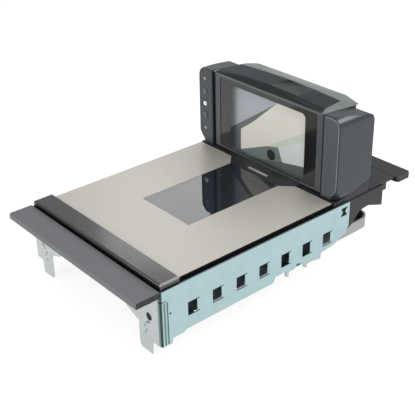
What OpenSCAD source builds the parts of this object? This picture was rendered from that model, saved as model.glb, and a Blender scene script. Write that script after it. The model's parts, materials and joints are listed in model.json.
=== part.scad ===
// In-counter checkout scanner and scale with two reading windows, in its checkstand adapter frame.
// Frame: X to the right seen from the cashier, Y from the cashier's edge to the tower, Z up.
// The origin is on the surface it stands on, under the middle of the whole assembly.

/* [Overall] */
// Width over the side rails
overall_w = 292; // [284:1:300]
// Length over both filler plates
overall_l = 508; // [500:1:520]
// Height of the platter's top face above the leg tips
platter_z = 105; // [103:1:108]
// Height of the tower's cap above the platter
tower_h = 131; // [128:1:134]

/* [Adapter frame] */
// Sheet thickness of the galvanised frame
sheet = 1.6; // [1.2:0.1:1.8]
// Height of the side rails' top edge
rail_top = 100; // [98:0.5:100]
// Height of the side rails' lower edge
rail_low = 29; // [26:1:32]
// Rear end of the side rails
rail_rear = 118; // [112:1:122]
// Width of each rail window
rail_window_w = 15; // [10:1:20]
// Height of each rail window
rail_window_h = 20; // [14:1:24]
// Thickness of the filler plates
filler_t = 8.5; // [6:0.5:9]

/* [Platter] */
// Width of the weigh platter
platter_w = 278.8; // [274:0.4:279.2]
// Width of the reading window in the platter
window_w = 101; // [90:1:110]
// Length of the reading window in the platter
window_l = 165; // [150:1:170]
// Sheet thickness of the platter
platter_t = 1.2; // [1:0.1:1.5]

/* [Produce rail] */
// Depth of the flip-up produce rail
bar_d = 30; // [26:1:30]
// Radius of its hinge pins
pin_r = 1.25; // [1:0.05:1.4]

/* [Tower] */
// Half width of the tower's middle part
core_hw = 112; // [108:1:112]
// Depth of the tower's side covers
pod_d = 69; // [60:1:70]
// Corner radius at the top outside of the side covers
pod_r = 15; // [12:1:18]
// Travel of the two control buttons
button_travel = 1; // [0.5:0.1:1.2]

/* [Hidden] */
$fn = 48;

hw = overall_w / 2;                     // outer face of the rails
front_y = -overall_l / 2;               // cashier's edge
rear_y = overall_l / 2;
counter_z = platter_z - 3.5;            // top face of the filler plates
under_filler = counter_z - filler_t;
rail_in = hw - sheet;                   // inner face of the rails
fold_y = front_y + 35;                  // front face of the rails' folded end
leg_y = fold_y - sheet;                 // front face of the legs
fold_r = 4;                             // outer radius of that fold
rail_front = fold_y + fold_r;           // where the rail's flat side starts
leg_in = 102;                           // inner edge of a leg
leg_out = hw - fold_r;
leg_hole_x = 124;                       // hole for the checkstand's fastener
leg_hole_z = 56;
leg_hole_d = 11;
cross_low = 62;                         // lower edge of the front crossmember
screw_r = 2;

rim_hw = rail_in - 1.2;                 // housing rim, between rails and platter
rim_top = platter_z - 6.5;
wall = 2.6;
body_hw = 136;                          // housing walls below the rim
body_front = front_y + 42;
body_rear = 192.5;
body_low = 42;
pit_hw = 112;                           // deeper, narrower middle of the housing
pit_low = 31;
pit_front = -133;
pit_rear = 148;
pan_low = 13.5;
pan_rear = 210;

platter_hw = platter_w / 2;
platter_front = front_y + 70;
platter_rear = 88;
window_front = -95;
window_rear = window_front + window_l;
skirt = 10;

bar_front = platter_front - 2 - bar_d;
bar_rear = platter_front - 2;
bar_hw = rim_hw + 0.3;
bar_top = platter_z + 4;
hinge_y = bar_rear - 4.5;
hinge_z = bar_top - 4.5;
lug_x = [-110, 0, 110];
lug_t = 3;

face_y = 94;                            // front face of the tower's bezel
pod_y = 91;                             // front face of the side covers
core_rear = 161;
pod_rear = pod_y + pod_d;
pod_in = core_hw + 2.5;
pod_out = hw - 1.5;
pod_mid = (pod_in + pod_out) / 2;
tower_top = platter_z + tower_h;
cap_low = tower_top - 12;               // underside of the cap behind the bezel
bezel_low = platter_z + 4;
bezel_top = tower_top - 8;
pod_top = tower_top - 5.5;
deck_z = rim_top;                       // the tower stands on the housing's deck
button_x = -132;
zero_z = platter_z + 87;
volume_z = platter_z + 48.5;
button_r = 5;

// ---------- helpers ----------
module box(lo, hi) translate(lo) cube(hi - lo);
module both() { children(); mirror([1, 0, 0]) children(); }
// a shape drawn in Y and Z, as thick as the given X range
module along_x(x0, x1) translate([x0, 0, 0]) rotate([90, 0, 90]) linear_extrude(x1 - x0) children();
// a shape drawn in X and Z, as thick as the given Y range
module along_y(y0, y1) translate([0, y1, 0]) rotate([90, 0, 0]) linear_extrude(y1 - y0) children();
module rod_y(x, z, y0, y1, r) translate([x, y1, z]) rotate([90, 0, 0]) cylinder(h = y1 - y0, r = r);
module rod_x(y, z, x0, x1, r) translate([x0, y, z]) rotate([0, 90, 0]) cylinder(h = x1 - x0, r = r);
module rod_z(x, y, z0, z1, r) translate([x, y, z0]) cylinder(h = z1 - z0, r = r);
// rectangle whose four corners have their own radii: low-left, low-right, high-right, high-left
module round_rect(lo, hi, r) {
    c = [[lo.x, lo.y], [hi.x, lo.y], [hi.x, hi.y], [lo.x, hi.y]];
    s = [[1, 1], [-1, 1], [-1, -1], [1, -1]];
    difference() {
        translate(lo) square(hi - lo);
        for (i = [0:3]) if (r[i] > 0) translate(c[i]) scale([s[i].x, s[i].y]) difference() {
            translate([-1, -1]) square(r[i] + 1);
            translate([r[i], r[i]]) circle(r = r[i]);
        }
    }
}

// ---------- adapter frame ----------
window_ys = [for (i = [0:6]) -169 + i * 40.3];
window_z = platter_z - 47.3;
level_ys = [-168, 17, 53];              // levelling screws, front to rear
level_zs = [rail_low, rail_low + 6, rail_low + 2.5];   // undersides of their ledges
level_x = 125;
level_r = 3;
leg_screws = [[92, 80], [92, 70], [leg_hole_x, 78]];

module rail_profile() polygon([
    [rail_front, rail_top], [rail_rear, rail_top], [rail_rear, 62], [112, 51.5], [88, 42],
    [63, 39.5], [62, rail_low + 1], [30, rail_low + 7], [16, rail_low + 12.5], [10, rail_low + 6],
    [-5.5, rail_low + 6], [-5.5, rail_low + 9], [-25.5, rail_low + 9], [-29.5, rail_low + 1],
    [-181, rail_low], [-184, rail_low - 3], [-202, rail_low - 3], [-202, rail_low - 10],
    [rail_front, rail_low - 10]]);

module side_rail() {
    difference() {
        along_x(rail_in, hw) rail_profile();
        for (y = window_ys) {
            box([rail_in - 1, y - rail_window_w / 2, window_z - rail_window_h / 2],
                [hw + 1, y + rail_window_w / 2, window_z + rail_window_h / 2]);
            // stress-relief slits at the rear corners of each window
            for (s = [-1, 1])
                translate([hw - 3, y + rail_window_w / 2 - 1, window_z + s * (rail_window_h / 2 - 0.6) - 0.6])
                    cube([5, 5, 1.2]);
        }
        // waisted slot near the rear end, and two small screw holes
        along_x(rail_in - 1, hw + 1) polygon([[100, 94.5], [113.5, 94.5], [109, 88],
            [113.5, 81.5], [100, 81.5], [103.5, 88]]);
        for (p = [[-204, 64.5], [111.7, 66.5]]) rod_x(p[0], p[1], rail_in - 1, hw + 1, 1.5);
        box([rail_in - 1, rail_front - 1, 84.4], [hw + 1, rail_front + 5, 85.6]);
        // pressed grooves beside the fold
        for (y = [rail_front + 2, rail_front + 6.5]) rod_z(hw + 0.5, y, rail_low - 11, 83, 1.3);
    }
    // folded front end
    difference() {
        union() {
            intersection() {
                difference() {
                    rod_z(hw - fold_r, rail_front, rail_low - 10, rail_top, fold_r);
                    rod_z(hw - fold_r, rail_front, rail_low - 11, rail_top + 1, fold_r - sheet);
                }
                box([hw - fold_r, fold_y - 1, 0], [hw + 1, rail_front, rail_top]);
            }
            box([pit_hw + 0.5, fold_y, rail_low - 7],
                [hw - fold_r, fold_y + sheet, under_filler - sheet - 1]);
        }
        box([hw - 7, fold_y - 1, 84.4], [hw + 1, rail_front + 1, 85.6]);
        rod_y(leg_hole_x, leg_hole_z, fold_y - 1, fold_y + 3, 7.5);
        rod_y(leg_hole_x, 78, fold_y - 1, fold_y + 3, screw_r + 0.1);
    }
    // inward ledges that carry the levelling screws
    difference() {
        for (r = [[-181, -150, level_zs[0]], [-5.5, 30, level_zs[1]], [36, 61, level_zs[2]]])
            box([rail_in - 26, r[0], r[2]], [rail_in, r[1], r[2] + sheet]);
        for (y = level_ys) rod_z(level_x, y, 0, 60, level_r);
    }
}
module side_rail_right() color("#b5cdd0") side_rail();
module side_rail_left() color("#b5cdd0") mirror([1, 0, 0]) side_rail();

module front_leg() along_y(leg_y, fold_y) difference() {
    polygon([[70, under_filler - sheet], [70, 54], [80, 47], [94, 42], [leg_in, 38], [leg_in, 5],
        [leg_in + 3, 0], [127, 0], [129, 20], [leg_out, 20], [leg_out, under_filler - sheet]]);
    // relief hole in the inner corner, fastener hole, and small punched holes
    translate([leg_in - 2, 38]) circle(r = 2.6);
    translate([leg_hole_x, leg_hole_z]) circle(d = leg_hole_d);
    translate([leg_hole_x - 1.5, leg_hole_z - 9]) circle(r = 2.2);
    for (i = [0:3]) translate([118 - i % 2 * 3.5, 44 - i * 5.6]) circle(r = 1.4);
    for (p = leg_screws) translate(p) circle(r = screw_r + 0.1);
}
module front_leg_right() color("#c3ccd0") front_leg();
module front_leg_left() color("#c3ccd0") mirror([1, 0, 0]) front_leg();

filler_screw_x = [-120, -60, 60, 120];
module front_crossmember() color("#b9c6ca") difference() {
    union() {
        box([-pit_hw, fold_y, cross_low], [pit_hw, fold_y + sheet, under_filler]);
        box([-132, front_y + 4, under_filler - sheet], [132, fold_y + sheet, under_filler]);
        box([-pit_hw, fold_y, cross_low], [pit_hw, fold_y + 6, cross_low + sheet]);
    }
    for (x = [-92, 92], z = [70, 80]) rod_y(x, z, fold_y - 1, fold_y + 3, screw_r + 0.1);
    for (x = filler_screw_x) rod_z(x, front_y + 20, 80, under_filler + 1, screw_r + 0.1);
}

// hollow plate between y0 and y1, closed at its ends and ribbed; the outer edge is the more rounded one
module filler_plate(y0, y1, outer_r) {
    shell = 2.2;
    along_x(-hw, hw) difference() {
        round_rect([y0, under_filler], [y1, counter_z], [0, 0, outer_r[1], outer_r[0]]);
        translate([y0 + shell, under_filler - 1]) square([y1 - y0 - 2 * shell, filler_t - 1.4]);
    }
    both() box([hw - shell, y0 + 2, under_filler], [hw, y1 - 2, counter_z - 2]);
    for (i = [-4:4]) box([i * 30 - 0.8, y0 + 2, under_filler + 0.6], [i * 30 + 0.8, y1 - 2, counter_z - 2]);
}
module front_filler_plate() color("#6b6b70") difference() {
    filler_plate(front_y, fold_y + 0.6, [3, 0.6]);
    // the rails' folded ends come up at its two rear corners
    both() box([hw - 4, fold_y - 0.1, 90], [hw + 1, fold_y + 2, 110]);
    for (x = filler_screw_x) rod_z(x, front_y + 20, under_filler - 1, under_filler + 3, 1.5);
}
ledge_hw = 140;
ledge_t = counter_z - rim_top;
seam_y = rear_y - 32;                   // joint between the rear ledge and the rear filler plate
module rear_filler_plate() color("#6f757b") difference() {
    filler_plate(seam_y + 0.4, rear_y, [0.6, 3]);
    for (s = [-1, 1]) {
        translate([s * hw, rear_y, 0]) rotate(45) cube([9, 9, 300], center = true);
        translate([s * hw, seam_y, 0]) rotate(45) cube([5, 5, 300], center = true);
    }
}
module rear_ledge_bracket() color("#656b71") difference() {
    union() {
        box([-ledge_hw, core_rear + 6, rim_top], [ledge_hw, seam_y, counter_z]);
        box([-ledge_hw, 196, 87], [ledge_hw, 204, rim_top]);
        box([-ledge_hw + 8, 204, under_filler - 2], [ledge_hw - 8, rear_y - 4, under_filler]);
        for (x = [-120, -40, 40, 120]) box([x - 1.5, 204, under_filler], [x + 1.5, seam_y, rim_top]);
    }
    for (x = [-100, 100]) rod_z(x, 182, rim_top - 1, counter_z + 1, screw_r + 0.1);
    for (x = [-96, 96]) rod_z(x, rear_y - 16, under_filler - 3, under_filler + 1, screw_r + 0.1);
}

// pan-head screw pointing along +Z, its head's underside at z = 0
module screw(len, r = screw_r) {
    translate([0, 0, -1.8]) difference() {
        cylinder(h = 1.8, r = r * 1.9);
        cylinder(h = 0.9, r = r * 0.75, $fn = 6);
    }
    cylinder(h = len, r = r);
}
module frame_screws() color("#aab2b6") {
    for (s = [-1, 1]) {
        for (p = leg_screws)
            translate([s * p[0], leg_y, p[1]]) rotate([-90, 0, 0]) screw(5);
        translate([s * 100, 182, counter_z]) rotate([180, 0, 0]) screw(ledge_t + wall);
        // flush rivet between each rail and the housing
        mirror([s > 0 ? 0 : 1, 0, 0]) rod_x(rail_rear - 6.3, 66.5, rim_hw, hw - 0.05, 1.48);
    }
}
module levelling_screws() color("#9aa2a6") for (s = [-1, 1], i = [0:2])
    translate([s * level_x, level_ys[i], 0]) {
        rod_z(0, 0, 11, body_low, level_r - 0.02);
        translate([0, 0, level_zs[i] + sheet]) rod_z(0, 0, 0.02, 3, 5.4, $fn = 6);
    }
module filler_plate_screws() color("#8f969a") {
    for (x = filler_screw_x) translate([x, front_y + 20, under_filler - sheet]) screw(sheet + 2.4, 1.49);
    for (x = [-96, 96]) translate([x, rear_y - 16, under_filler - 2]) screw(2 + 2.2, 1.49);
}

// ---------- lower unit ----------
cover_z = 78;                           // underside of the optics cover
// side view of the housing's wide rear part, its walls e thinner than the outline
module rear_wing(e) polygon([[100 + e, rim_top + e], [body_rear - e, rim_top + e],
    [body_rear - e, 66.5 + e * 1.3], [161.5, 77 + e], [144 - e * 0.4, 75 + e],
    [127.6 - e * 0.4, 59 + e], [116, 52 + e], [100 + e, 52 + e]]);
module lower_housing() color("#3a3e45") {
    difference() {
        union() {
            box([-rim_hw, body_front, rim_top - 7], [rim_hw, body_rear, rim_top]);
            along_x(-body_hw, body_hw) polygon([[body_front, rim_top - 1], [body_front, 64],
                [body_front + 16, body_low], [112, body_low], [128, 59], [144, 75], [144, rim_top - 1]]);
            along_x(-pit_hw, pit_hw) polygon([[pit_front, rim_top - 10], [pit_front, pit_low],
                [pit_rear, pit_low],
                [170, 52], [170, 80], [pit_rear, 80]]);
            along_x(-rim_hw, rim_hw) rear_wing(0);
        }
        // recess for the platter's skirt, the scale and the optics
        box([-rim_hw + wall, body_front + wall, rim_top - 4.4],
            [rim_hw - wall, platter_rear + 1, rim_top + 1]);
        along_x(-body_hw + wall, body_hw - wall) polygon([[body_front + wall, rim_top],
            [body_front + wall, 66],
            [body_front + 17, body_low + wall], [98, body_low + wall], [98, 92], [platter_rear + 1, 92],
            [platter_rear + 1, rim_top]]);
        box([-pit_hw + wall, pit_front + wall, pit_low - 1], [pit_hw - wall, pit_rear - 4, 80]);
        along_x(-pit_hw + wall, pit_hw - wall) polygon([[90, 50], [pit_rear - 4, 36], [166, 55],
            [166, 92], [90, 92]]);
        along_x(-rim_hw + wall, rim_hw - wall) difference() {
            rear_wing(wall);
            translate([90, rim_top - wall]) square([120, 10]);
        }
        // way up into the tower
        box([-98, 104, 90], [98, 146, rim_top + 1]);
        // opening behind the interface panel
        box([-66, body_rear - 4, 73], [66, body_rear + 1, 93]);
        for (x = [-100, 100]) rod_z(x, 182, rim_top - 4, rim_top + 1, screw_r + 0.05);
    }
    // posts under the optics cover
    for (x = [-128, 128], y = [-122, 76]) rod_z(x, y, body_low + 1, cover_z, 3.5);
}
foot_x = [-80, 80];
foot_y = [-100, 100];
base_screw_x = [-104, 104];
base_screw_y = [-120, 20, 140];
module base_pan() color("#b9bcba") difference() {
    translate([0, 0, pan_low]) linear_extrude(pit_low - pan_low)
        round_rect([-pit_hw, pit_front], [pit_hw, pan_rear], [8, 8, 20, 20]);
    translate([0, 0, pan_low + 3]) linear_extrude(pit_low)
        round_rect([-pit_hw + 3, pit_front + 3], [pit_hw - 3, pan_rear - 3], [6, 6, 17, 17]);
    for (x = foot_x, y = foot_y) rod_z(x, y, pan_low - 1, pan_low + 4, 3);
    for (x = base_screw_x, y = base_screw_y) rod_z(x, y, pan_low - 1, pan_low + 4, screw_r + 0.02);
    // cooling slots
    for (x = [-60:12:60]) {
        box([x - 1.5, 46.5, pan_low - 1], [x + 1.5, 73.5, pan_low + 4]);
        for (y = [46.5, 73.5]) rod_z(x, y, pan_low - 1, pan_low + 4, 1.5);
    }
}
module rubber_feet() color("#222426") for (x = foot_x, y = foot_y) {
    difference() {
        rod_z(x, y, 0, pan_low, 9);
        rod_z(x, y, -1, 3, 4);
    }
    rod_z(x, y, pan_low, pan_low + 3, 2.95);
    rod_z(x, y, pan_low + 3, pan_low + 5, 5);
}
module base_screws() color("#8d9498") for (x = base_screw_x, y = base_screw_y)
    translate([x, y, pan_low]) screw(6);

// centre, width, lower edge and height of each socket: power, host, scale host, accessory
port_list = [[-48, 12, 77, 11], [-18, 16, 76, 13], [14, 16, 76, 13], [46, 14, 78, 9]];
module interface_panel() color("#8a9094") difference() {
    box([-70, body_rear, 70], [70, body_rear + 1.5, 96]);
    for (p = port_list) translate([p[0] - p[1] / 2, body_rear - 1, p[2]]) cube([p[1], 4, p[3]]);
}
module interface_ports() color("#1d1f22") for (p = port_list) difference() {
    translate([p[0] - p[1] / 2, body_rear - 14, p[2]]) cube([p[1], 15, p[3]]);
    translate([p[0] - p[1] / 2 + 1.6, body_rear - 9, p[2] + 1.6]) cube([p[1] - 3.2, 12, p[3] - 3.2]);
}

module optics_cover() color("#1f2226") difference() {
    union() {
        box([-body_hw + wall + 0.4, pit_front + 4, cover_z], [body_hw - wall - 0.4, 86, cover_z + 2.4]);
        box([-62, window_front - 12, cover_z], [62, window_rear + 10, cover_z + 4]);
    }
    box([-window_w / 2 - 1, window_front, cover_z - 1], [window_w / 2 + 1, window_rear, cover_z + 5]);
}
module inner_window_gasket() color("#131416") difference() {
    box([-57, window_front - 7, cover_z + 4], [57, window_rear + 6, cover_z + 5]);
    box([-window_w / 2 - 1, window_front, cover_z + 3], [window_w / 2 + 1, window_rear, cover_z + 6]);
}
module inner_window() color("#2a3338")
    box([-56, window_front - 6, cover_z + 5], [56, window_rear + 5, cover_z + 7.5]);
module main_board() color("#1f5a3a") {
    box([-98, -90, pan_low + 8], [98, 80, pan_low + 9.6]);
    for (p = [[-60, -30, 26, 26], [10, -50, 34, 20], [50, 20, 24, 30], [-40, 40, 20, 12]])
        box([p[0], p[1], pan_low + 9.6], [p[0] + p[2], p[1] + p[3], pan_low + 13]);
    for (x = [-92, 92], y = [-84, 74]) rod_z(x, y, pan_low + 3, pan_low + 8, 3);
}
// centre and turn of each base camera
base_cams = [[[-78, 62, 54], 215], [[78, 62, 54], 145]];
module at_base_cameras() for (c = base_cams) translate(c[0]) rotate([0, 0, c[1]]) children();
module camera_body() difference() {
    box([-16, -11, -16], [16, 9, 16]);
    rod_y(0, 0, -12, 10, 7.5);
}
module camera_lens() difference() {
    rod_y(0, 0, -6, 17, 7.4);
    rod_y(0, 0, 13, 18, 6);
}
module base_camera_modules() color("#2b2e33") {
    at_base_cameras() camera_body();
    both() box([88, 60, 50], [pit_hw - wall, 66, 58]);
}
module base_camera_lenses() color("#0d0f12") at_base_cameras() camera_lens();
module base_fold_mirrors() color("#c8ced2") {
    for (s = [-1, 1]) translate([s * 62, -84, 38]) rotate([38, 0, s * 24])
        translate([-32, 0, 0]) cube([64, 3, 46]);
    translate([0, 50, 36]) rotate([-40, 0, 0]) translate([-38, 0, 0]) cube([76, 3, 44]);
    // brackets out to the housing's side walls
    both() {
        box([86, -76, 38], [pit_hw - wall, -66, 46]);
        box([34, 49, 32], [pit_hw - wall, 54, 37.5]);
    }
}
module base_led_boards() color("#d9d6c8") both() {
    translate([88, -20, 58]) rotate([0, 28, 0]) {
        box([-1.5, -40, -12], [0.1, 40, 12]);
        for (i = [-3:3]) box([-3.4, i * 11 - 2.5, -2.5], [-1.5, i * 11 + 2.5, 2.5]);
    }
    box([87, -24, 55], [pit_hw - wall, -16, 60]);
}

cell_z = 56;
cell_y0 = -164;
cell_y1 = -140;
module load_cell() color("#aeb3b5") difference() {
    box([-62, cell_y0, cell_z], [62, cell_y1, cell_z + 24]);
    for (x = [-16, 16]) rod_y(x, cell_z + 12, cell_y0 - 1, cell_y1 + 1, 8);
    box([-16, cell_y0 - 1, cell_z + 9], [16, cell_y1 + 1, cell_z + 15]);
}
module load_cell_spacers() color("#8f9699") {
    box([-62, cell_y0, body_low + wall], [-38, cell_y1, cell_z]);
    box([38, cell_y0, cell_z + 24], [62, cell_y1, 86]);
}
pad_x = 115;
pad_y = [-150, 52];
pad_z = platter_z - 7;
module scale_spider() color("#a3a8aa") difference() {
    union() {
        both() box([106, -165, 86], [124, 62, pad_z]);
        box([-124, -165, 86], [124, -140, pad_z]);
    }
    // weight-saving pockets from below
    both() for (i = [0:3]) box([109, -132 + i * 46, 85], [121, -92 + i * 46, pad_z - 3]);
    for (x = [-88, -30]) box([x, -162, 85], [x + 50, -143, pad_z - 3]);
    for (x = [-pad_x, pad_x], y = pad_y) rod_z(x, y, pad_z - 2, pad_z + 1, 8);
}
module spider_pads() color("#1b1c1e") for (x = [-pad_x, pad_x], y = pad_y)
    rod_z(x, y, pad_z - 2, platter_z - platter_t, 7.95);

// ---------- platter and produce rail ----------
module platter_outline() polygon([[-platter_hw, platter_front], [platter_hw, platter_front],
    [platter_hw, platter_rear], [window_w / 2 + platter_rear - window_rear, platter_rear],
    [window_w / 2, window_rear], [window_w / 2, window_front], [-window_w / 2, window_front],
    [-window_w / 2, window_rear], [-window_w / 2 - platter_rear + window_rear, platter_rear],
    [-platter_hw, platter_rear]]);
module platter() color("#d6d2ca") {
    translate([0, 0, platter_z - platter_t]) linear_extrude(platter_t) platter_outline();
    both() box([platter_hw - platter_t, platter_front, platter_z - skirt],
        [platter_hw, platter_rear, platter_z - platter_t]);
    box([-platter_hw + platter_t, platter_front, platter_z - skirt],
        [platter_hw - platter_t, platter_front + platter_t, platter_z - platter_t]);
}
module platter_glass_frame() color("#15171a") difference() {
    box([-window_w / 2 - 6, window_front - 6, platter_z - 7],
        [window_w / 2 + 6, window_rear + 0.2, platter_z - platter_t]);
    box([-window_w / 2, window_front, platter_z - 3.4], [window_w / 2, window_rear + 1, platter_z]);
    box([-window_w / 2 + 3, window_front + 3, platter_z - 8], [window_w / 2 - 3, window_rear - 3, platter_z]);
}
module platter_glass() color("#27323a")
    box([-window_w / 2 + 0.3, window_front + 0.3, platter_z - 3.4],
        [window_w / 2 - 0.3, window_rear, platter_z - 0.2]);

module rail_hinge_lugs() color("#9da3a6") for (x = lug_x) along_x(x - lug_t / 2, x + lug_t / 2) difference() {
    union() {
        translate([hinge_y, hinge_z]) circle(r = 2.1);
        translate([hinge_y - 2.1, platter_z - 9]) square([4.2, hinge_z - platter_z + 9]);
        translate([hinge_y - 2.1, platter_z - 9]) square([platter_front - hinge_y + 2.1, 2.6]);
    }
    translate([hinge_y, hinge_z]) circle(r = pin_r + 0.05);
}
module bar_section() difference() {
    round_rect([bar_front, bar_top - 9], [bar_rear, bar_top], [0.5, 0.5, 2, 2.5]);
    translate([bar_front + 2.2, bar_top - 10]) square([bar_d - 4.4, 7.8]);
    translate([bar_rear - 3, bar_top - 10]) square([4, 3]);
}
module produce_rail() color("#4a5056") {
    difference() {
        union() {
            along_x(-bar_hw, bar_hw) bar_section();
            // closed ends and the ribs that hold the pins
            for (x = concat([-bar_hw, bar_hw - 2.4], [for (x = lug_x, s = [-1, 1]) x + s * 6 - 1.2]))
                along_x(x, x + 2.4) translate([bar_front + 1, bar_top - 7]) square([bar_d - 2, 6]);
        }
        for (x = lug_x) {
            rod_x(hinge_y, hinge_z, x - 7.2, x + 7.2, pin_r + 0.005);
            box([x - 2.2, bar_rear - 3, bar_top - 10], [x + 2.2, bar_rear + 1, bar_top - 2.2]);
        }
        // bevelled ends
        for (s = [-1, 1]) translate([s * bar_hw, 0, bar_top]) rotate([0, 45, 0])
            translate([-1.8, bar_front - 1, -1.8]) cube([3.6, bar_d + 2, 3.6]);
    }
}
module rail_hinge_pins() color("#c9ced1") for (x = lug_x) rod_x(hinge_y, hinge_z, x - 7.2, x + 7.2, pin_r);

// ---------- tower ----------
module tower_chassis() color("#22252a") {
    difference() {
        union() {
            along_x(-pod_out + 3, pod_out - 3) polygon([[90, deck_z], [163, deck_z], [163, 116], [160, 116],
                [96, 105], [90, 105]]);
            both() box([106, 98, deck_z], [109, 156, cap_low - 3]);
            box([-109, 153, deck_z], [109, 156, cap_low - 3]);
        }
        box([-98, 99, deck_z - 1], [98, 146, 125]);
        box([-80, 89, deck_z - 1], [80, face_y, 110]);
        both() box([101, 95, deck_z - 1], [pod_out - 6, 160, 102]);
        for (x = [-90, 90], z = [130, 205]) rod_y(x, z, 152, 158, 1.55);
    }
}
module tower_rear_cover() color("#3b4148") difference() {
    union() {
        translate([0, 0, 118]) linear_extrude(cap_low - 118)
            round_rect([-core_hw, 156], [core_hw, core_rear], [0, 0, 4, 4]);
        both() box([109.2, 98.5, 118], [core_hw, 156, cap_low]);
        // bosses that carry the side covers
        both() for (z = [140, 190]) box([core_hw, 115, z], [pod_in, 145, z + 14]);
    }
    // cooling louvres
    for (i = [0:5]) box([-60, 155, 140 + i * 9], [60, core_rear + 1, 143 + i * 9]);
    for (x = [-90, 90], z = [130, 205]) rod_y(x, z, 155, core_rear + 1, 1.55);
}
bezel_hw = 110.5;
glass_hw = 100;
glass_low = bezel_low + 3;
glass_top = bezel_top - 4;
module glass_outline(e)
    round_rect([-glass_hw - e, glass_low - e], [glass_hw + e, glass_top + e], [4, 4, 4, 4]);
module front_bezel() color("#50555b") difference() {
    along_y(face_y, face_y + 4)
        round_rect([-bezel_hw, bezel_low], [bezel_hw, bezel_top - 0.05], [2, 2, 3, 3]);
    along_y(face_y - 1, face_y + 2) glass_outline(0);
    along_y(face_y + 1, face_y + 5) glass_outline(2);
}
module vertical_glass() color("#26302f") along_y(face_y + 1, face_y + 4) glass_outline(1.9);
shelf_gap = 0.7;
shelf_back_hw = window_w / 2 + face_y - window_rear - shelf_gap * 1.4;
module shelf_plan() polygon([[-window_w / 2 + shelf_gap, window_rear + shelf_gap],
    [window_w / 2 - shelf_gap, window_rear + shelf_gap], [shelf_back_hw, face_y], [-shelf_back_hw, face_y]]);
module shelf() color("#33373c") difference() {
    intersection() {
        translate([0, 0, platter_z - 5]) linear_extrude(12) shelf_plan();
        along_x(-90, 90) polygon([[60, platter_z - 1], [window_rear + 1, platter_z - 0.4],
            [face_y, bezel_low], [face_y, platter_z - 5], [90, platter_z - 5], [90, 105.1],
            [89, 102.5], [60, 102.5]]);
    }
    box([-20.2, 77, platter_z - 5], [20.2, 81, 120]);
}
module shelf_badge() color("#b7babb") intersection() {
    box([-20, 77.2, 102.6], [20, 80.8, 120]);
    along_x(-30, 30) polygon([[60, 102.6], [window_rear + 1, 102.6], [90, 102.6], [90, bezel_low - 0.6],
        [window_rear + 1, platter_z - 0.2]]);
}
// height of the arched cap's top across its width
function crown(x) = tower_top - 3.5 * pow(x / 100, 2);
module cap_solid() hull() {
    box([-core_hw - 1, face_y - 1, bezel_top], [core_hw + 1, face_y, bezel_top + 1.2]);
    // front and rear edge of the top
    for (edge = [[102, 106, 0], [140, 100, 0.8]], i = [-2:2])
        translate([i / 2 * edge[1], edge[0], crown(i / 2 * edge[1]) - edge[2] - 1]) cube(1);
    box([-88, core_rear + 1, cap_low], [88, core_rear + 2, bezel_top + 2]);
    box([-core_hw - 1, face_y + 4, cap_low], [core_hw + 1, core_rear + 1, cap_low + 0.5]);
}
// outer skin of the cap over its front slope and top, g smaller all round
module cap_skin(g) intersection() {
    cap_solid();
    difference() {
        translate([0, 0, bezel_top + 0.4 + g]) linear_extrude(30) polygon([[-109 + g, face_y - 2],
            [109 - g, face_y - 2], [106 - g, 102], [101 - g, 138 - g], [-101 + g, 138 - g], [-106 + g, 102]]);
        translate([0, 0.6 - g / 2, g - 1.2]) cap_solid();
    }
}
module top_cap() color("#8b9396") difference() {
    cap_solid();
    box([-120, face_y - 2, cap_low - 1], [120, face_y + 4, bezel_top]);
    cap_skin(0);
}
module top_inlay() color("#2c3740") cap_skin(0.1);

// side cover's solid, grown or shrunk by e: an outline in X and Z crossed with one in Y and Z
module pod_outline(e) round_rect([pod_in - e, 107 - e], [pod_out + e, pod_top + e],
    [1, 8 + e, pod_r + e, 1]);
module pod_solid(e) difference() {
    intersection() {
        along_y(pod_y - e, pod_rear + e) pod_outline(e);
        along_x(pod_in - 1 - e, pod_out + 1 + e) polygon([[pod_y - 2, 104 - e], [97, 107 - e],
            [pod_rear - 4, 120 - e], [pod_rear + e, 126 - e], [pod_rear + e, pod_top - 18],
            [pod_rear - 3 + e, pod_top - 11 + e], [pod_rear - 9 + e, pod_top - 8 + e],
            [pod_y - 2, pod_top + 0.5 + e]]);
    }
    // the bottom corner at the front is cut back
    translate([pod_out, pod_y, 107]) rotate([0, 30, -45]) translate([e - 8, -50, -50]) cube(100);
}
panel_lo = [pod_in + 2, 111];
panel_hi = [pod_out - 3, pod_top - 3.5];
module panel_outline(e) round_rect(panel_lo - [e, e], panel_hi + [e, e], [2 + e, 19 + e, 12 + e, 2 + e]);
module side_cover() difference() {
    pod_solid(0);
    pod_solid(-2.4);
    along_y(pod_y - 1, pod_y + 4) panel_outline(0);
}
module side_cover_right() color("#4e545c") side_cover();
module side_cover_left() color("#4e545c") mirror([1, 0, 0]) side_cover();

module speaker_grille() color("#4a5057") difference() {
    along_y(pod_y, pod_y + 2) panel_outline(-0.1);
    for (i = [0:6], j = [0:2]) rod_y(pod_mid - 6 + j * 6, 140 + i * 6, pod_y - 1, pod_y + 3, 1);
}
module speaker() color("#1a1b1e") {
    difference() {
        rod_y(pod_mid, 158, pod_y + 2, pod_y + 6, 9.5);
        rod_y(pod_mid, 158, pod_y + 1, pod_y + 5, 8);
    }
    rod_y(pod_mid, 158, pod_y + 6, pod_y + 16, 7);
}
lens_z = [platter_z + 107, platter_z + 26];
display_z = platter_z + 66.5;
module control_panel() color("#3c4148") difference() {
    mirror([1, 0, 0]) along_y(pod_y, pod_y + 2) panel_outline(-0.1);
    for (z = [zero_z, volume_z]) rod_y(button_x, z, pod_y - 1, pod_y + 3, button_r + 0.25);
    for (z = lens_z) rod_y(button_x, z, pod_y - 1, pod_y + 3, 2);
    box([button_x - 5, pod_y - 1, display_z - 5], [button_x + 5, pod_y + 3, display_z + 5]);
}
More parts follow.
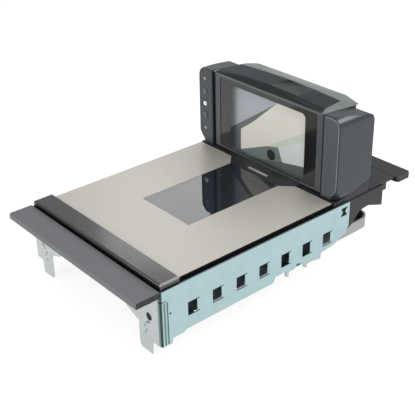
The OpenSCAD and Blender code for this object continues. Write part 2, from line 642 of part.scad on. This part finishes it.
module status_lenses() color("#d8dde0") {
    for (z = lens_z) rod_y(button_x, z, pod_y - 0.2, pod_y + 6, 1.95);
    box([button_x - 4.9, pod_y + 0.2, display_z - 4.9], [button_x + 4.9, pod_y + 6, display_z + 4.9]);
}
module button_cap(z) {
    difference() {
        rod_y(button_x, z, pod_y - 0.7, pod_y + 2.05, button_r);
        rod_y(button_x, z, pod_y - 1, pod_y - 0.4, 2);
    }
    rod_y(button_x, z, pod_y + 2.05, pod_y + 3, button_r + 1);
}
module zero_button() color("#565c63") button_cap(zero_z);
module volume_button() color("#565c63") button_cap(volume_z);
module control_board() color("#1f5a3a") {
    box([button_x - 8, pod_y + 6, 122], [button_x + 7, pod_y + 7.6, pod_top - 16.5]);
    for (z = [zero_z, volume_z])
        box([button_x - 3, pod_y + 3.05 + button_travel, z - 3], [button_x + 3, pod_y + 6, z + 3]);
    for (z = [142, 181.3]) rod_y(button_x, z, pod_y + 2, pod_y + 6, 1.5);
}

module tower_camera() translate([30, 128, 127]) rotate([25, 0, 180]) children();
module tower_camera_module() color("#2b2e33") {
    tower_camera() camera_body();
    // bracket across the opening in the tower's base
    difference() {
        box([-98, 118, 104], [98, 136, 109]);
        for (x = [-70, -30]) rod_z(x, 127, 103, 110, 5);
    }
    box([22, 122, 108], [38, 134, 114]);
}
module tower_camera_lens() color("#0d0f12") tower_camera() camera_lens();
module tower_mirrors() color("#d3d8da") {
    // upper mirror leans forward under the cap, lower mirrors flank the camera
    translate([-94, 146, 164]) rotate([16, 0, 0]) cube([188, 3, 46]);
    for (x = [-60, 60]) box([x - 6, 146, 164], [x + 6, 153, 168]);
    both() {
        translate([72, 134, 122]) rotate([-8, 0, -32]) translate([-22, 0, 0]) cube([44, 3, 34]);
        box([68, 136, 124], [76, 153, 128]);
    }
}
module tower_led_boards() color("#d9d6c8") both() translate([105, 125, 174]) {
    box([-1, -18, -24], [1, 18, 24]);
    for (i = [-2:2]) box([-3, -2.5, i * 9 - 2.5], [-1, 2.5, i * 9 + 2.5]);
}
module tower_screws() color("#8d9498") for (x = [-90, 90], z = [130, 205])
    translate([x, core_rear, z]) rotate([90, 0, 0]) screw(8, 1.5);

side_rail_right();
side_rail_left();
front_leg_right();
front_leg_left();
front_crossmember();
front_filler_plate();
rear_filler_plate();
rear_ledge_bracket();
frame_screws();
levelling_screws();
filler_plate_screws();
lower_housing();
base_pan();
rubber_feet();
base_screws();
interface_panel();
interface_ports();
optics_cover();
inner_window();
inner_window_gasket();
main_board();
base_camera_modules();
base_camera_lenses();
base_fold_mirrors();
base_led_boards();
load_cell();
load_cell_spacers();
scale_spider();
spider_pads();
platter();
platter_glass();
platter_glass_frame();
rail_hinge_lugs();
produce_rail();
rail_hinge_pins();
tower_chassis();
tower_rear_cover();
front_bezel();
vertical_glass();
shelf();
shelf_badge();
top_cap();
top_inlay();
side_cover_right();
side_cover_left();
speaker_grille();
speaker();
control_panel();
control_board();
status_lenses();
zero_button();
volume_button();
tower_camera_module();
tower_camera_lens();
tower_mirrors();
tower_led_boards();
tower_screws();
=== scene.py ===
"""Looks of an in-counter checkout scanner and scale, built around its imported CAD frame."""
import json
import math

import bmesh
import bpy
from mathutils import Matrix, Vector


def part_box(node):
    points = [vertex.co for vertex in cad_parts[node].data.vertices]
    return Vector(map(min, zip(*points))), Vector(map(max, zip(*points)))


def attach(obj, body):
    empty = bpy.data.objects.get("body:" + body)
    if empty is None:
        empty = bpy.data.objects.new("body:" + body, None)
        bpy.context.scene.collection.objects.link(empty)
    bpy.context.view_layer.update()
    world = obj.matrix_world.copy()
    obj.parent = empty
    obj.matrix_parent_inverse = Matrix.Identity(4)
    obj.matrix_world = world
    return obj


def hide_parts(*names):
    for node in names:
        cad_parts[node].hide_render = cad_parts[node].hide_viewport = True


MM = 0.001
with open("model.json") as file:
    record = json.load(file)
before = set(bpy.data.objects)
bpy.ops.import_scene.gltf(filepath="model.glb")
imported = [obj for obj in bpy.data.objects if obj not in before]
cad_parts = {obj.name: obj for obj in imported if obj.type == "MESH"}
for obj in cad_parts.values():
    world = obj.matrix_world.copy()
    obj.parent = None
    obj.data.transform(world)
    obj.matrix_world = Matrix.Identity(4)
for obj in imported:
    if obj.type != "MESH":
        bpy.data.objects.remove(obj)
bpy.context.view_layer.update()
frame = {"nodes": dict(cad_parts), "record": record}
NODES = frame["nodes"]


# ---------- camera, floor and light ----------
def add_camera(azimuth=50.0, elevation=29.0, roll=-1.2, lens=77.7, aim=(52, -63, 120), distance=1201):
    """Camera that looks at aim from the front right, angles in degrees and places in millimetres."""
    az, el = math.radians(azimuth), math.radians(elevation)
    back = Vector((math.sin(az) * math.cos(el), -math.cos(az) * math.cos(el), math.sin(el)))
    data = bpy.data.cameras.new("camera")
    data.lens = lens
    data.sensor_width = 36.0
    data.clip_start = 0.01
    camera = bpy.data.objects.new("camera", data)
    bpy.context.scene.collection.objects.link(camera)
    turn = back.to_track_quat("Z", "Y").to_matrix().to_4x4()
    camera.matrix_world = (Matrix.Translation((Vector(aim) + back * distance) * MM) @ turn
                           @ Matrix.Rotation(math.radians(roll), 4, "Z"))
    bpy.context.scene.camera = camera


def add_light(name, place, aim, size, power, tint=(1, 1, 1)):
    """Rectangular softbox at place, turned to aim, both in metres."""
    data = bpy.data.lights.new(name, "AREA")
    data.shape = "RECTANGLE"
    data.size, data.size_y = size
    data.energy = power
    data.color = tint
    light = bpy.data.objects.new(name, data)
    bpy.context.scene.collection.objects.link(light)
    light.location = place
    light.rotation_euler = (Vector(aim) - Vector(place)).to_track_quat("-Z", "Y").to_euler()


def add_studio(room=0.62):
    """White seen by the camera, a dimmer white room for the object, and five softboxes."""
    world = bpy.data.worlds.new("studio")
    bpy.context.scene.world = world
    world.use_nodes = True
    tree = world.node_tree
    background = tree.nodes["Background"]
    background.inputs["Color"].default_value = (1.0, 1.0, 1.0, 1.0)
    seen = node(tree, "ShaderNodeLightPath")
    strength = node(tree, "ShaderNodeMapRange", {"To Min": room, "To Max": 1.0})
    tree.links.new(seen.outputs["Is Camera Ray"], strength.inputs["Value"])
    tree.links.new(strength.outputs["Result"], background.inputs["Strength"])
    middle = (0.0, -0.02, 0.1)
    add_light("top_softbox", (0.2, -0.2, 1.5), middle, (1.2, 1.2), 9.0)
    add_light("right_softbox", (1.5, -0.7, 0.7), middle, (0.9, 0.9), 7.5)
    add_light("rim_softbox", (0.75, 0.95, 1.1), (0.1, 0.1, 0.2), (1.0, 0.6), 13.0)
    add_light("front_softbox", (-0.5, -1.5, 0.55), middle, (1.2, 1.2), 12.0)
    add_light("rear_softbox", (-0.9, 0.55, 0.75), (0.0, -0.2, 0.109), (0.3, 0.3), 0.5)
    bpy.context.scene.view_settings.view_transform = "Standard"


# ---------- materials ----------
def linear(code):
    """Linear RGBA of a colour written as a six-digit hex code."""
    parts = [int(code[i:i + 2], 16) / 255 for i in (0, 2, 4)]
    return [c / 12.92 if c <= 0.04045 else ((c + 0.055) / 1.055) ** 2.4 for c in parts] + [1.0]


def node(tree, kind, inputs=(), **settings):
    made = tree.nodes.new(kind)
    for key, value in settings.items():
        setattr(made, key, value)
    for key, value in dict(inputs).items():
        made.inputs[key].default_value = value
    return made


def stretched_noise(tree, scale, stretch, detail=3.0):
    """Noise over the object's own coordinates, squeezed by stretch along X, Y and Z."""
    coords = node(tree, "ShaderNodeTexCoord")
    mapping = node(tree, "ShaderNodeMapping", {"Scale": stretch})
    noise = node(tree, "ShaderNodeTexNoise", {"Scale": scale, "Detail": detail})
    tree.links.new(coords.outputs["Object"], mapping.inputs["Vector"])
    tree.links.new(mapping.outputs["Vector"], noise.inputs["Vector"])
    return noise.outputs["Fac"]


def facing_colour(tree, colour, axis, start, full, code):
    """The colour, with another one where the normal's axis part nears full; X counts both ways."""
    facing = node(tree, "ShaderNodeTexCoord")
    apart = node(tree, "ShaderNodeSeparateXYZ")
    side = node(tree, "ShaderNodeMath", operation="ABSOLUTE" if axis == "X" else "MULTIPLY")
    side.inputs[1].default_value = 1.0
    step = node(tree, "ShaderNodeMapRange", {"From Min": start, "From Max": full})
    mix = node(tree, "ShaderNodeMix", data_type="RGBA")
    mix.inputs[7].default_value = linear(code)
    tree.links.new(facing.outputs["Normal"], apart.inputs["Vector"])
    tree.links.new(apart.outputs[axis], side.inputs[0])
    tree.links.new(side.outputs["Value"], step.inputs["Value"])
    tree.links.new(step.outputs["Result"], mix.inputs[0])
    tree.links.new(colour, mix.inputs[6])
    return mix.outputs[2]


def fold_shade_colour(tree, colour, code):
    """The colour, with a painted shade and dark reflection colour on the fold arcs and cut edges between
    faces along X and along Y or Z.
    """
    facing = node(tree, "ShaderNodeTexCoord")
    apart = node(tree, "ShaderNodeSeparateXYZ")
    side = node(tree, "ShaderNodeMath", operation="ABSOLUTE")
    ramp = node(tree, "ShaderNodeValToRGB")
    ramp.color_ramp.interpolation = "LINEAR"
    stops = ((0.1, 0.0), (0.35, 0.75), (0.7, 1.0), (0.93, 0.9), (0.985, 0.0))
    while len(ramp.color_ramp.elements) < len(stops):
        ramp.color_ramp.elements.new(0.5)
    for element, (place, value) in zip(ramp.color_ramp.elements, stops):
        element.position = place
        element.color = (value, value, value, 1)
    mix = node(tree, "ShaderNodeMix", data_type="RGBA")
    mix.inputs[7].default_value = linear(code)
    tree.links.new(facing.outputs["Normal"], apart.inputs["Vector"])
    tree.links.new(apart.outputs["X"], side.inputs[0])
    tree.links.new(side.outputs["Value"], ramp.inputs["Fac"])
    tree.links.new(ramp.outputs["Color"], mix.inputs[0])
    tree.links.new(colour, mix.inputs[6])
    return mix.outputs[2]


def surface(name, code, rough=0.5, rough_spread=0.06, mottle=0.06, mottle_scale=45.0, grain=2200.0,
            grain_depth=0.00003, stretch=(1, 1, 1), sockets=(), facing=(), folds=None):
    """Principled material with mottled colour, uneven roughness and a fine bump.

    facing recolours faces by direction: (axis, start, full, code); it colours near-black ends and paints
    shade on shaded sides.
    folds paints shade and dark reflection on rounded bends and cut edges.
    """
    material = bpy.data.materials.new(name)
    material.use_nodes = True
    tree = material.node_tree
    shader = tree.nodes["Principled BSDF"]
    for key, value in dict(sockets).items():
        shader.inputs[key].default_value = value
    base = linear(code)
    mix = node(tree, "ShaderNodeMix", data_type="RGBA")
    mix.inputs[6].default_value = [c * (1 - mottle) for c in base[:3]] + [1]
    mix.inputs[7].default_value = [min(1, c * (1 + mottle)) for c in base[:3]] + [1]
    tree.links.new(stretched_noise(tree, mottle_scale, stretch), mix.inputs[0])
    colour = mix.outputs[2]
    for axis, start, full, look in facing:
        colour = facing_colour(tree, colour, axis, start, full, look)
    if folds:
        colour = fold_shade_colour(tree, colour, folds)
    tree.links.new(colour, shader.inputs["Base Color"])
    spread = node(tree, "ShaderNodeMapRange", {"To Min": max(0.02, rough - rough_spread),
                                               "To Max": rough + rough_spread})
    tree.links.new(stretched_noise(tree, mottle_scale * 4, stretch), spread.inputs["Value"])
    tree.links.new(spread.outputs["Result"], shader.inputs["Roughness"])
    bump = node(tree, "ShaderNodeBump", {"Strength": 0.6, "Distance": grain_depth})
    tree.links.new(stretched_noise(tree, grain, stretch, 2.0), bump.inputs["Height"])
    tree.links.new(bump.outputs["Normal"], shader.inputs["Normal"])
    return material


def glass(name, code, alpha, ior, rough=0.02):
    """Coated pane: a dark glossy tint over what is behind it."""
    return surface(name, code, rough, 0.01, 0.05, 20.0, 300.0, 0.000002,
                   sockets={"Alpha": alpha, "IOR": ior})


def metal(name, code, rough, **extra):
    return surface(name, code, rough, sockets={"Metallic": 1.0}, **extra)


MATERIALS = {
    # zinc sheet: fold arcs and cut edges painted dark, as painted shade and dark reflection
    "zinc_steel": metal("zinc_sheet", "a6bec1", 0.38, mottle=0.08, mottle_scale=60.0, grain=700.0,
                        folds="2c3b3e"),
    "leg_steel": metal("bright_sheet", "b6bcbc", 0.34, mottle=0.08, mottle_scale=120.0, grain=700.0),
    # platter: faces turned along X painted near-black, painted shade of the gap beside the rails
    "platter_steel": surface("brushed_stainless", "bdb8b0", 0.45, stretch=(0.02, 1, 1), mottle=0.05,
                             mottle_scale=1400.0, grain=2600.0, grain_depth=0.000012,
                             sockets={"Metallic": 0.62}, facing=[("X", 0.8, 0.95, "08090a")]),
    "screw_steel": metal("plated_steel", "b4babd", 0.28),
    # front filler plate: ends turned along X coloured near-black; downward faces painted black as painted
    # shade under the plate
    "filler_plastic": surface("filler_plastic", "56575a", 0.5, mottle=0.05, grain=1800.0,
                              facing=[("X", 0.6, 0.85, "0a0b0e"), ("Z", -0.3, -0.8, "0a0b0e")]),
    "ledge_plastic": surface("ledge_plastic", "1b1f23", 0.5, mottle=0.05, grain=1800.0),
    "housing_plastic": surface("housing_plastic", "1b1d22", 0.55, mottle=0.1, grain=1500.0),
    "cast_pan": metal("cast_pan", "a6a8a7", 0.45, mottle=0.08, grain=900.0, grain_depth=0.00006),
    "black_rubber": surface("black_rubber", "1b1c1e", 0.75, mottle=0.12, grain=1400.0),
    "port_plastic": surface("port_plastic", "17181a", 0.45),
    "window_glass": glass("window_glass", "1c232a", 0.8, 1.95),
    "tower_glass": glass("tower_glass", "151d1e", 0.1, 1.5),
    "circuit_board": surface("circuit_board", "1d5a3b", 0.42, mottle=0.2, mottle_scale=400.0),
    "camera_plastic": surface("camera_plastic", "1d1f22", 0.5),
    "lens_glass": surface("lens_glass", "0c0f14", 0.06, 0.02, sockets={"IOR": 1.9, "Coat Weight": 0.6}),
    "optic_mirror": metal("front_mirror", "d8dddf", 0.07, rough_spread=0.02, mottle=0.02,
                          grain_depth=0.000001),
    "led_board": surface("led_board", "dcd8c8", 0.45),
    "cell_aluminium": metal("cell_aluminium", "b4b8ba", 0.36, stretch=(0.1, 1, 1), grain=1800.0),
    # produce rail: ends turned along X coloured near-black; front face painted black as painted shade
    "rail_plastic": surface("rail_plastic", "1d2226", 0.22, 0.03, 0.05, grain_depth=0.000008,
                            facing=[("X", 0.5, 0.8, "060708"), ("Y", -0.35, -0.8, "060708")],
                            sockets={"Coat Weight": 0.5, "Coat Roughness": 0.12}),
    "cover_plastic": surface("cover_plastic", "21262c", 0.32, mottle=0.05, grain=2400.0),
    "bezel_plastic": surface("bezel_plastic", "3c4044", 0.4, mottle=0.05),
    "shelf_plastic": surface("shelf_plastic", "17191c", 0.42),
    "badge_silver": metal("badge_silver", "c2c4c4", 0.3),
    "cap_plastic": surface("cap_plastic", "59625f", 0.3, 0.04, sockets={"Coat Weight": 0.15}),
    # top inlay: faces tilted forward painted darker as painted shade
    "inlay_gloss": surface("inlay_gloss", "0d1920", 0.5, 0.03, facing=[("Y", -0.08, -0.16, "05080b")],
                           sockets={"IOR": 1.4}),
    "panel_plastic": surface("panel_film", "2a2e33", 0.42, mottle=0.05),
    "lens_white": surface("lens_white", "e6ecef", 0.3, sockets={"Emission Color": (0.85, 0.93, 1, 1),
                                                                "Emission Strength": 0.25}),
    "button_plastic": surface("button_plastic", "34393f", 0.4),
    "black_gloss": surface("black_gloss", "07090a", 0.12, 0.03, sockets={"Coat Weight": 0.3}),
    "black_gap": surface("black_gap", "040506", 0.7),
    # light strip along the bezel's top edge: painted highlight
    "bezel_highlight_grey": surface("bezel_highlight_grey", "5d6265", 0.3),
    # light grey on the right panel's crease: painted highlight
    "crease_highlight_grey": surface("crease_highlight_grey", "80868c", 0.3),
    "icon_grey": surface("icon_grey", "77828b", 0.4),
    "dim_lens": surface("dim_lens", "5d6a73", 0.25),
    # near-black for the core's side walls: painted shade in the gaps beside the side covers
    "tower_gap_shade": surface("tower_gap_shade", "101215", 0.55),
}


def dotted(name, code, dot_code, pitch, dot=0.3):
    """Matt plastic with a close grid of small dark dots, painted as the shade in dimples; the dots carry no
    bump.
    """
    material = surface(name, code, 0.5, mottle=0.05)
    tree = material.node_tree
    shader = tree.nodes["Principled BSDF"]
    coords = node(tree, "ShaderNodeTexCoord")
    flat = node(tree, "ShaderNodeMapping", {"Scale": (1, 0, 1)})
    cells = node(tree, "ShaderNodeTexVoronoi", {"Scale": 1 / (pitch * MM), "Randomness": 0.0})
    inside = node(tree, "ShaderNodeMapRange", {"From Min": dot + 0.1, "From Max": dot - 0.1})
    mix = node(tree, "ShaderNodeMix", data_type="RGBA")
    mix.inputs[7].default_value = linear(dot_code)
    plain = shader.inputs["Base Color"].links[0].from_socket
    tree.links.new(coords.outputs["Object"], flat.inputs["Vector"])
    tree.links.new(flat.outputs["Vector"], cells.inputs["Vector"])
    tree.links.new(cells.outputs["Distance"], inside.inputs["Value"])
    tree.links.new(inside.outputs["Result"], mix.inputs[0])
    tree.links.new(plain, mix.inputs[6])
    tree.links.new(mix.outputs[2], shader.inputs["Base Color"])
    return material


# dark dots on the grille: painted shade of small dimples
MATERIALS["grille_film"] = dotted("grille_film", "474c50", "17191b", 1.3)
# nodes whose look differs from the rest of their slot; tower_rear_cover's near-black is painted shade for the
# gaps beside the side covers
SPECIAL_LOOKS = {"front_leg_right": "leg_steel", "front_leg_left": "leg_steel",
                 "vertical_glass": "tower_glass", "rear_filler_plate": "ledge_plastic",
                 "rear_ledge_bracket": "ledge_plastic", "tower_rear_cover": "tower_gap_shade"}


def dress_cad_nodes():
    """Every CAD node gets its slot's material, or the look that SPECIAL_LOOKS gives it."""
    for part in frame["record"]["subparts"]:
        looks = SPECIAL_LOOKS.get(part["node"], part["material_slot"])
        data = NODES[part["node"]].data
        data.materials.clear()
        data.materials.append(MATERIALS[looks])


def soften(piece, width, segments=2, angle=32.0, weld_mm=0.02):
    """Small rounded edges that catch the light."""
    piece.modifiers.new("weld", "WELD").merge_threshold = weld_mm * MM
    bevel = piece.modifiers.new("bevel", "BEVEL")
    bevel.width = width * MM
    bevel.segments = segments
    bevel.limit_method = "ANGLE"
    bevel.angle_limit = math.radians(angle)
    bevel.miter_outer = "MITER_ARC"
    piece.modifiers.new("normals", "WEIGHTED_NORMAL").keep_sharp = True


SOFT_EDGES = {
    "front_filler_plate": 0.5, "rear_filler_plate": 0.5, "rear_ledge_bracket": 0.4, "platter": 0.35,
    "produce_rail": 0.5, "side_cover_right": 1.0, "side_cover_left": 1.0, "front_bezel": 0.5,
    "shelf": 0.4, "side_rail_right": 0.25, "side_rail_left": 0.25, "front_leg_right": 0.25,
    "front_leg_left": 0.25, "speaker_grille": 0.3, "control_panel": 0.3, "lower_housing": 0.5,
    "base_pan": 0.8, "tower_rear_cover": 0.5, "tower_chassis": 0.4, "zero_button": 0.3, "volume_button": 0.3,
}


# ---------- pieces ----------
def piece(name, verts, faces, looks, body="scanner", slot=None):
    """Mesh piece from points in millimetres."""
    data = bpy.data.meshes.new(name)
    data.from_pydata([Vector(v) * MM for v in verts], [], faces)
    data.materials.append(MATERIALS[looks])
    made = bpy.data.objects.new(name, data)
    bpy.context.scene.collection.objects.link(made)
    mesh = bmesh.new()
    mesh.from_mesh(data)
    bmesh.ops.recalc_face_normals(mesh, faces=mesh.faces)
    mesh.to_mesh(data)
    mesh.free()
    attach(made, body)
    return made


def arc(centre, radius, start, end, steps=8):
    """Points on an arc in a plane, angles in degrees."""
    turns = [math.radians(start + (end - start) * i / steps) for i in range(steps + 1)]
    return [(centre[0] + radius * math.cos(t), centre[1] + radius * math.sin(t)) for t in turns]


def rounded(lo, hi, radii):
    """Rectangle outline, a radius per corner: low-left, low-right, high-right, high-left."""
    corners = [(lo[0], lo[1], 1, 1, 180), (hi[0], lo[1], -1, 1, 270), (hi[0], hi[1], -1, -1, 0),
               (lo[0], hi[1], 1, -1, 90)]
    points = []
    for (x, y, sx, sy, start), r in zip(corners, radii):
        points += arc((x + sx * r, y + sy * r), r, start, start + 90)
    return points


def plate(name, outline, y0, y1, looks, body="scanner", slot=None, hole=None):
    """Flat plate in X and Z between two Y values, with an optional hole of as many points as the outline."""
    n = len(outline)
    loops = [outline] if hole is None else [outline, hole]
    verts = [(x, y, z) for y in (y0, y1) for loop in loops for x, z in loop]
    count = n * len(loops)
    faces = []
    if hole is None:
        faces += [list(range(n)), list(range(2 * n - 1, n - 1, -1))]
    for side in (0, count):
        if hole is not None:
            faces += [(side + i, side + (i + 1) % n, side + n + (i + 1) % n, side + n + i) for i in range(n)]
    for loop in range(len(loops)):
        faces += [(loop * n + i, loop * n + (i + 1) % n, count + loop * n + (i + 1) % n, count + loop * n + i)
                  for i in range(n)]
    return piece(name, verts, faces, looks, body, slot)


def window_print():
    """Dark printed border on the upright glass, open along its lower edge."""
    lo, hi = [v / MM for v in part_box("vertical_glass")]
    margin, clear_hw, clear_top = 2.0, 77.0, 216.5
    outer = rounded((lo.x + margin, lo.z + margin), (hi.x - margin, hi.z - margin), (3, 3, 3, 3))
    inner = rounded((-clear_hw, lo.z + margin + 0.3), (clear_hw, clear_top), (0.5, 0.5, 7, 7))
    plate("window_print", outer, lo.y - 0.25, lo.y - 0.02, "black_gloss", slot="window_glass", hole=inner)


# corners in X and Z of the flat slabs that stand in for the folded mirrors, each painted with the reflection
# it shows, all in one upright plane
A1, A2, A3, A4, A5, A6, A7 = (-84, 143), (10, 209), (69, 214), (69, 184), (-8, 137), (-64, 113), (-64, 147)
B1, B2, B3, B4 = (16, 143), (69, 170), (69, 130), (25, 122)
C1, C2, C3 = (-45, 106), (68, 107), (3, 116)
LEFT, RIGHT, LOW, HIGH = -104, 80, 100, 222
FACETS = {
    "tower_mirror_upper": ("painted_reflection_cool", [(-57, 162), A2, (14, HIGH), (-55, HIGH)]),
    "tower_mirror_side": ("painted_reflection_side", [(LEFT, 130), (-57, 162), (-55, HIGH), (LEFT, HIGH)]),
    "tower_mirror_shade": ("painted_reflection_dark", [(LEFT, LOW), (-50, LOW), C1, A6, A7, (-37, 167), A2, (LEFT, 130)]),
    "tower_mirror_middle": ("painted_reflection_warm", [A6, A5, (RIGHT, 190), (RIGHT, HIGH), (14, HIGH), A2, (-37, 167),
                                            A7]),
    "tower_mirror_wedge": ("painted_reflection_green", [A5, B1, (RIGHT, 175), (RIGHT, 190)]),
    "tower_mirror_right": ("painted_reflection_pale", [B1, B4, (RIGHT, 132), (RIGHT, 175)]),
    "tower_mirror_low": ("painted_reflection_deep", [A6, C1, C3, B4, B1, A5]),
    "tower_mirror_base": ("painted_reflection_base", [C1, (-50, LOW), (RIGHT, LOW), (RIGHT, 132), B4, C3]),
}
# flat colours painted as the mirrors' reflections, with a weak glow of their own colour in place of reflected
# light
for looks, code in (("painted_reflection_cool", "aab1b8"), ("painted_reflection_side", "aab1b7"), ("painted_reflection_dark", "64696d"),
                    ("painted_reflection_warm", "e0ddd3"), ("painted_reflection_green", "ccd4c8"), ("painted_reflection_pale", "d6dbda"),
                    ("painted_reflection_deep", "6f7b77"), ("painted_reflection_base", "5a6360")):
    MATERIALS[looks] = surface(looks, code, 0.3, 0.05, 0.05, 30.0, 600.0, 0.000004, (1, 1, 0.3),
                               {"Emission Color": linear(code), "Emission Strength": 0.12})


def slab(name, corners, depth, looks, slot):
    """Thin slab whose front has the given corners in space, its back depth millimetres behind along Y."""
    n = len(corners)
    back = [(x, y + depth, z) for x, y, z in corners]
    faces = [list(range(n)), list(range(2 * n - 1, n - 1, -1))]
    faces += [(i, (i + 1) % n, n + (i + 1) % n, n + i) for i in range(n)]
    return piece(name, list(corners) + back, faces, looks, slot=slot)


def tower_optics(face_y=104.0):
    """Flat slabs behind the upright glass, painted with the folded mirrors' reflections, and the camera lens
    that looks past them.
    """
    made = [slab(name, [(x, face_y, z) for x, z in corners], 1.5, looks, "optic_mirror")
            for name, (looks, corners) in FACETS.items()]
    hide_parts("tower_mirrors")
    lens = [(x, face_y - 0.4, z) for x, z in arc((2, 126), 8.5, 0, 337.5, 15)]
    slab("mirror_lens_hole", lens, 0.3, "housing_plastic", "optic_mirror")


def bezel_edge_highlight():
    """Thin light strip along the bezel's top edge, a painted highlight, under the cap's black front slope."""
    lo, hi = [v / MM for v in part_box("front_bezel")]
    strip = [(lo.x + 1, hi.z - 2.1), (hi.x - 1, hi.z - 2.1), (hi.x - 1, hi.z - 0.9), (lo.x + 1, hi.z - 0.9)]
    plate("bezel_edge_highlight", strip, lo.y - 0.25, lo.y - 0.02, "bezel_highlight_grey", slot="bezel_plastic")


def panel_outline(node_name, grow=0.0, inner_grow=0.0):
    """Outline of a side cover's front panel; its outer corners are the rounder ones.

    grow widens it at the top and on its outer side, inner_grow at the bottom and on its inner side.
    """
    lo, hi = [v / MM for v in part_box(node_name)]
    right = lo.x > 0
    radii = (2, 19, 12, 2) if right else (19, 2, 2, 12)
    left_grow, right_grow = (inner_grow, grow) if right else (grow, inner_grow)
    return rounded((lo.x - left_grow, lo.z - inner_grow), (hi.x + right_grow, hi.z + grow),
                   [r + grow for r in radii])


def side_cover_fronts():
    """Textured grille on the right cover, and a line round both front panels: a painted highlight on the
    right crease, painted shade on the left one.
    """
    for side, panel in (("right", "speaker_grille"), ("left", "control_panel")):
        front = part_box(panel)[0].y / MM
        # right crease painted light grey as a painted highlight, left crease painted black as painted shade
        looks = "crease_highlight_grey" if side == "right" else "black_gloss"
        plate(f"panel_crease_painted_light_{side}", panel_outline(panel, 0.9, 0.1), front - 0.12, front + 0.3, looks,
              slot="cover_plastic", hole=panel_outline(panel, -0.1, -0.1))
    front, back = [v.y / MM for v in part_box("speaker_grille")]
    grille = plate("speaker_grille_skin", panel_outline("speaker_grille"), front, back, "grille_film",
                   slot="panel_plastic")
    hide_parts("speaker_grille")


def disc(name, centre, radius, y0, y1, looks, body="scanner", slot=None, hole=None):
    """Round plate in X and Z, or a ring if hole gives its inner radius."""
    outline = arc(centre, radius, 0, 345, 23)
    inner = arc(centre, hole, 0, 345, 23) if hole else None
    return plate(name, outline, y0, y1, looks, body, slot, inner)


def control_marks():
    """Dim lenses, the framed display and a plain mark on each button."""
    lens_inset, display_drop = 1.95, 1.25
    lo, hi = [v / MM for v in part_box("status_lenses")]
    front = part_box("control_panel")[0].y / MM
    middle_x = (lo.x + hi.x) / 2
    for name, z in (("top", hi.z - lens_inset), ("low", lo.z + lens_inset)):
        disc(f"lens_shade_{name}", (middle_x, z), 1.7, front - 0.3, front - 0.2, "dim_lens",
             slot="lens_white")
    buttons = {name: (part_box(name)[0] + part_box(name)[1]) / 2 / MM
               for name in ("zero_button", "volume_button")}
    display_z = (buttons["zero_button"].z + buttons["volume_button"].z) / 2 - display_drop
    frame_out = rounded((middle_x - 5, display_z - 5), (middle_x + 5, display_z + 5), (1.5,) * 4)
    frame_in = rounded((middle_x - 3.4, display_z - 3), (middle_x + 3.4, display_z + 3), (1,) * 4)
    plate("display_frame", frame_out, front - 0.15, front - 0.02, "panel_plastic", hole=frame_in)
    disc("display_dot", (middle_x, display_z), 1.2, front, front + 0.15, "black_gap",
         slot="panel_plastic")
    for name, place in buttons.items():
        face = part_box(name)[0].y / MM
        disc(f"{name}_mark", (place.x, place.z), 3.1, face - 0.06, face, "icon_grey", body=name,
             slot="button_plastic", hole=2.5)
        bar = [(place.x - 1.0, place.z - 3.9), (place.x + 1.0, place.z - 3.9), (place.x + 1.0, place.z - 3.4),
               (place.x - 1.0, place.z - 3.4)]
        plate(f"{name}_tick", bar, face - 0.06, face, "icon_grey", body=name, slot="button_plastic")


def leg_hole_shades():
    """Black disc behind each leg's fastener hole, painted shade inside the hole."""
    for part in ("front_leg_right", "front_leg_left"):
        lo, hi = [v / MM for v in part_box(part)]
        side = 1 if lo.x > 0 else -1
        disc(f"{part}_hole_shade", (side * 124, 56), 7.2, hi.y + 0.1, hi.y + 1.4, "black_rubber")


add_camera()
dress_cad_nodes()
for name, width in SOFT_EDGES.items():
    soften(NODES[name], width)
window_print()
tower_optics()
bezel_edge_highlight()
side_cover_fronts()
control_marks()
leg_hole_shades()

# ---------- floor ----------
floor_data = bpy.data.meshes.new("floor")
floor_data.from_pydata([(-6, -6, 0), (6, -6, 0), (6, 6, 0), (-6, 6, 0)], [], [(0, 1, 2, 3)])
MATERIALS["floor"] = surface("floor", "7a7a7a", 0.8, mottle=0.01, mottle_scale=2.0,
                             sockets={"Emission Color": (1, 1, 1, 1), "Emission Strength": 0.86})
floor_data.materials.append(MATERIALS["floor"])
floor = bpy.data.objects.new("floor", floor_data)
bpy.context.scene.collection.objects.link(floor)
add_studio()
